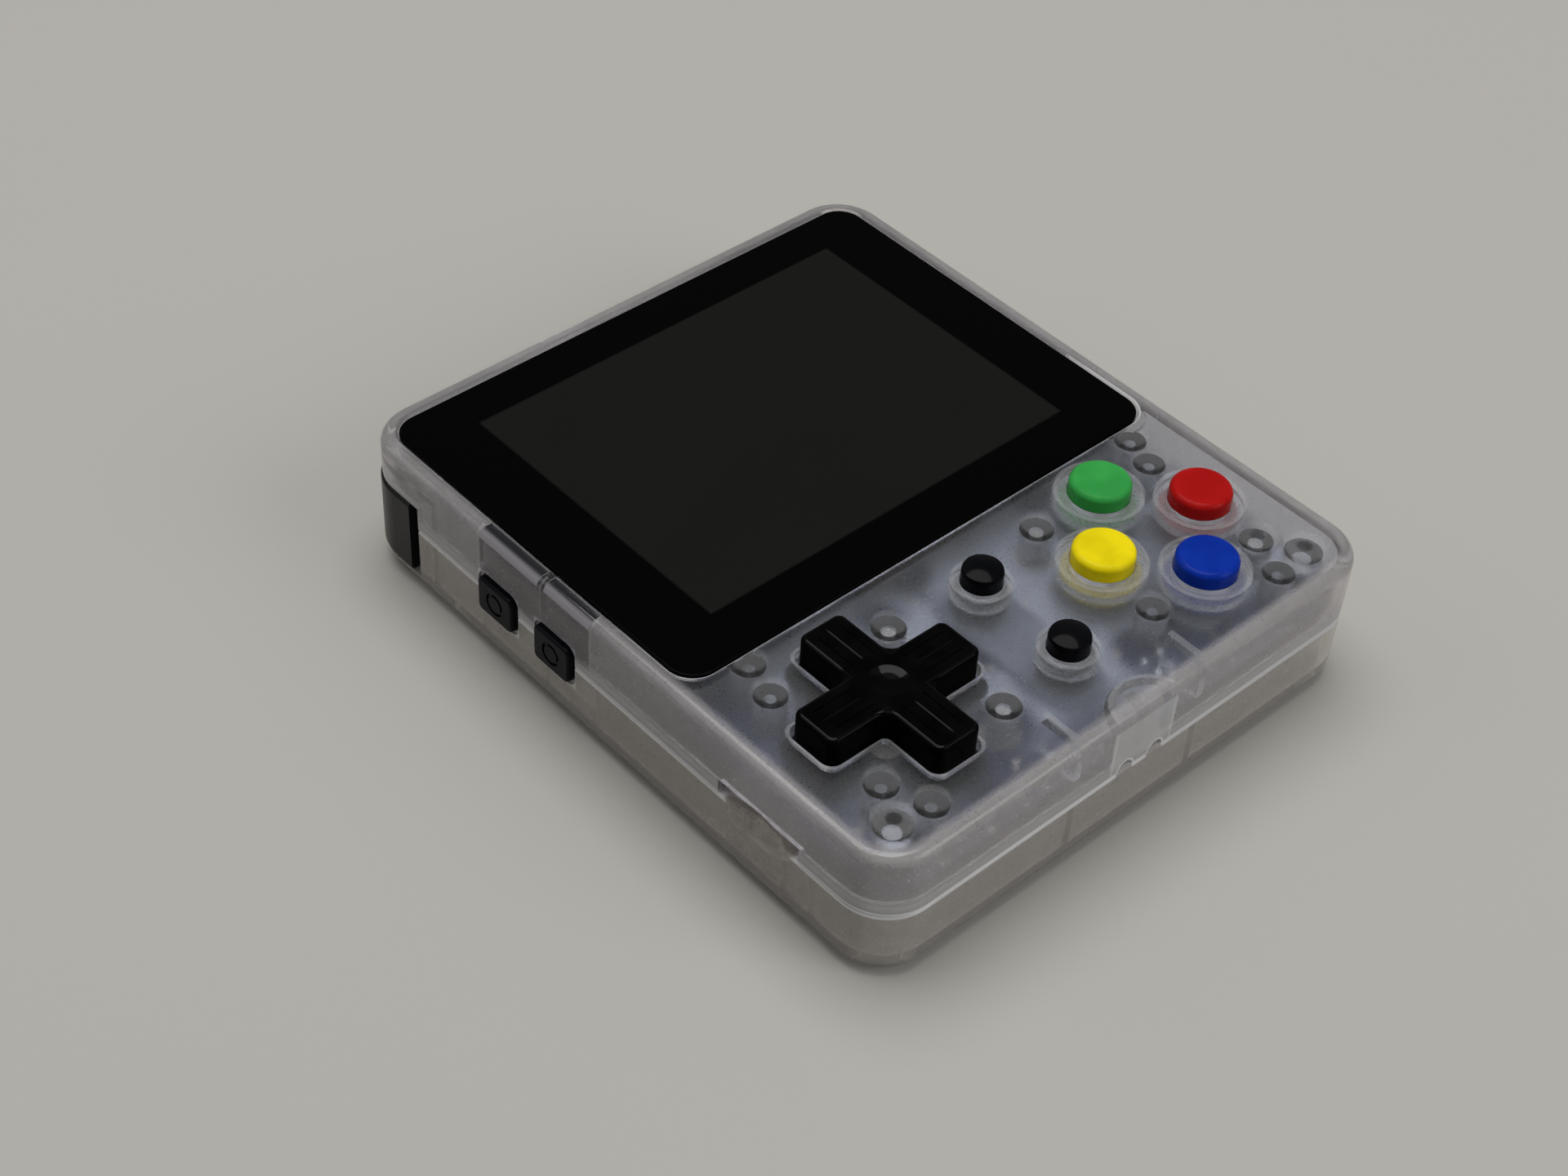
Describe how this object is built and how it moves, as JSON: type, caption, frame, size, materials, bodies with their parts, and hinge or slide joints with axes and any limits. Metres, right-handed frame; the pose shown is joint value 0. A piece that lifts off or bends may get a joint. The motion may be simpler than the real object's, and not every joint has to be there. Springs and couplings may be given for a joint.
{
  "type": "handheld game console",
  "caption": "Slab handheld game console in a frosted clear case: lens-covered display, rocking direction pad, round face buttons, side and shoulder buttons, sliding power switch.",
  "frame": {"origin": "middle of the flat rear face", "axes": "+X to the right of the face, +Y towards the display end, +Z out of the face"},
  "size_m": [0.0748, 0.0862, 0.0205],
  "materials": {
    "front_case": "frosted clear moulding, fine satin texture",
    "rear_case": "frosted clear moulding, slightly darker",
    "lens": "polished, printed black border",
    "adhesive": "black foam tape",
    "panel_glass": "dark switched-off display",
    "backlight": "white moulded frame",
    "ribbon": "amber film with copper tracks",
    "board": "blue solder mask",
    "chips": "black epoxy, tinned legs",
    "pad_black": "fine spark-eroded texture",
    "silicone": "milky translucent rubber",
    "button_green": "smooth moulded",
    "button_red": "smooth moulded",
    "button_yellow": "smooth moulded",
    "button_blue": "smooth moulded",
    "menu_black": "smooth moulded",
    "side_black": "satin",
    "switch_body": "moulded",
    "shoulder_black": "smooth moulded",
    "switch_can": "pressed can",
    "socket_steel": "pressed and folded sheet",
    "card_black": "moulded card",
    "jack_black": "moulded housing",
    "battery_wrap": "foil pouch with tape",
    "wire_red": "insulated wire",
    "speaker_black": "pressed frame",
    "screw_steel": "blackened steel",
    "screw_nickel": "nickel plated"
  },
  "bodies": {
    "console": {"front_shell": "front_case", "rear_shell": "rear_case", "display_lens": "lens", "lens_tape": "adhesive", "lcd_panel": "panel_glass", "lcd_backlight": "backlight", "lcd_flex": "ribbon", "main_board": "board", "board_chips": "chips", "action_membrane": "silicone", "menu_membrane": "silicone", "volume_switches": "switch_body", "shoulder_switches": "switch_body", "power_switch": "switch_can", "card_socket": "socket_steel", "memory_card": "card_black", "usb_port": "socket_steel", "headphone_jack": "jack_black", "battery": "battery_wrap", "battery_lead": "wire_red", "speaker": "speaker_black", "speaker_lead": "wire_red", "case_screws": "screw_steel", "board_screws": "screw_nickel"},
    "dpad_rocker": {"dpad_membrane": "silicone"},
    "dpad": {"dpad": "pad_black"},
    "button_top": {"button_top": "button_green"},
    "button_right": {"button_right": "button_red"},
    "button_left": {"button_left": "button_yellow"},
    "button_bottom": {"button_bottom": "button_blue"},
    "select_button": {"select_button": "menu_black"},
    "start_button": {"start_button": "menu_black"},
    "volume_up_button": {"volume_up_button": "side_black"},
    "volume_down_button": {"volume_down_button": "side_black"},
    "left_shoulder_button": {"left_shoulder_button": "shoulder_black"},
    "right_shoulder_button": {"right_shoulder_button": "shoulder_black"},
    "power_knob": {"power_knob": "side_black"}
  },
  "joints": [
    {"name": "dpad_up_down", "type": "hinge", "parent": "console", "child": "dpad_rocker", "pos_m": [-0.0206, -0.0255, 0.0129], "axis": [1, 0, 0], "range_deg": [-3.5, 3.5], "stiffness_Nm_per_rad": 0.18, "deforming": ["dpad_membrane"]},
    {"name": "dpad_left_right", "type": "hinge", "parent": "dpad_rocker", "child": "dpad", "pos_m": [-0.0206, -0.0255, 0.0129], "axis": [0, 1, 0], "range_deg": [-3.5, 3.5], "stiffness_Nm_per_rad": 0.18},
    {"name": "button_top_press", "type": "slide", "parent": "console", "child": "button_top", "axis": [0, 0, -1], "range_m": [0, 0.0008], "stiffness_N_per_m": 1250, "springref_m": -0.0002, "deforming": ["action_membrane"]},
    {"name": "button_right_press", "type": "slide", "parent": "console", "child": "button_right", "axis": [0, 0, -1], "range_m": [0, 0.0008], "stiffness_N_per_m": 1250, "springref_m": -0.0002},
    {"name": "button_left_press", "type": "slide", "parent": "console", "child": "button_left", "axis": [0, 0, -1], "range_m": [0, 0.0008], "stiffness_N_per_m": 1250, "springref_m": -0.0002},
    {"name": "button_bottom_press", "type": "slide", "parent": "console", "child": "button_bottom", "axis": [0, 0, -1], "range_m": [0, 0.0008], "stiffness_N_per_m": 1250, "springref_m": -0.0002},
    {"name": "select_button_press", "type": "slide", "parent": "console", "child": "select_button", "axis": [0, 0, -1], "range_m": [0, 0.0008], "stiffness_N_per_m": 1250, "springref_m": -0.0002, "deforming": ["menu_membrane"]},
    {"name": "start_button_press", "type": "slide", "parent": "console", "child": "start_button", "axis": [0, 0, -1], "range_m": [0, 0.0008], "stiffness_N_per_m": 1250, "springref_m": -0.0002},
    {"name": "volume_up_button_press", "type": "slide", "parent": "console", "child": "volume_up_button", "axis": [1, 0, 0], "range_m": [0, 0.0005], "stiffness_N_per_m": 1500, "springref_m": -0.0002},
    {"name": "volume_down_button_press", "type": "slide", "parent": "console", "child": "volume_down_button", "axis": [1, 0, 0], "range_m": [0, 0.0005], "stiffness_N_per_m": 1500, "springref_m": -0.0002},
    {"name": "left_shoulder_button_press", "type": "hinge", "parent": "console", "child": "left_shoulder_button", "pos_m": [-0.017, 0.0388, 0.006], "axis": [0, 0, 1], "range_deg": [0, 3], "stiffness_Nm_per_rad": 0.4, "springref_deg": -1.15},
    {"name": "right_shoulder_button_press", "type": "hinge", "parent": "console", "child": "right_shoulder_button", "pos_m": [0.017, 0.0388, 0.006], "axis": [0, 0, -1], "range_deg": [0, 3], "stiffness_Nm_per_rad": 0.4, "springref_deg": -1.15},
    {"name": "power_slide", "type": "slide", "parent": "console", "child": "power_knob", "axis": [0, 1, 0], "range_m": [0, 0.003]}
  ]
}
